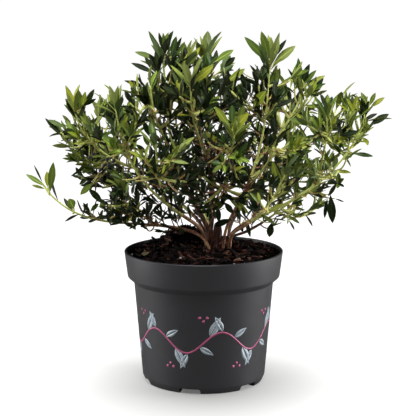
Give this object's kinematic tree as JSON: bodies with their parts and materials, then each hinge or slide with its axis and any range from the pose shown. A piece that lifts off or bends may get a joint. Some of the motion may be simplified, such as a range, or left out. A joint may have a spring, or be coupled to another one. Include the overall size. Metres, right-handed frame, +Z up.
{
  "type": "potted dwarf rhododendron",
  "caption": "Round tapered nursery pot with a rim band, filled with soil, holding a spreading evergreen shrub: a forked root crown, tapering limbs and masses of narrow leaves in whorls.",
  "frame": {"origin": "centre of the pot's flat underside, on the surface that the pot stands on", "axes": "+Z up along the pot's axis, -Y towards the side that faces the viewer, +X to the viewer's right"},
  "size_m": [0.4435, 0.3559, 0.4196],
  "materials": {
    "pot_plastic": "satin anthracite",
    "potting_soil": "loose bark and peat",
    "bark": "rough brown to green bark",
    "foliage": "leathery green leaves"
  },
  "bodies": {
    "root": {"pot": "pot_plastic", "soil": "potting_soil", "root_crown": "bark", "left_front_bough": "bark", "left_low_bough": "bark", "top_left_bough": "bark", "top_centre_bough": "bark", "top_right_bough": "bark", "right_far_bough": "bark", "right_low_bough": "bark", "back_left_bough": "bark", "back_low_bough": "bark", "back_right_bough": "bark", "back_middle_bough": "bark", "right_low_front_bough": "bark", "low_left_bough": "bark", "left_outer_bough": "bark", "left_lower_bough": "bark", "left_centre_bough": "bark", "upper_left_bough": "bark", "front_centre_bough": "bark", "centre_front_bough": "bark", "centre_bough": "bark", "back_centre_bough": "bark", "centre_right_bough": "bark", "upper_right_bough": "bark", "right_outer_bough": "bark", "right_front_bough": "bark", "right_side_bough": "bark", "back_left_low_bough": "bark", "back_right_low_bough": "bark", "left_front_foliage": "foliage", "left_low_foliage": "foliage", "top_left_foliage": "foliage", "top_centre_foliage": "foliage", "top_right_foliage": "foliage", "right_far_foliage": "foliage", "right_low_foliage": "foliage", "back_left_foliage": "foliage", "back_low_foliage": "foliage", "back_right_foliage": "foliage", "back_middle_foliage": "foliage", "right_low_front_foliage": "foliage", "low_left_foliage": "foliage", "left_outer_foliage": "foliage", "left_lower_foliage": "foliage", "left_centre_foliage": "foliage", "upper_left_foliage": "foliage", "front_centre_foliage": "foliage", "centre_front_foliage": "foliage", "centre_foliage": "foliage", "back_centre_foliage": "foliage", "centre_right_foliage": "foliage", "upper_right_foliage": "foliage", "right_outer_foliage": "foliage", "right_front_foliage": "foliage", "right_side_foliage": "foliage", "back_left_low_foliage": "foliage", "back_right_low_foliage": "foliage"}
  },
  "joints": []
}
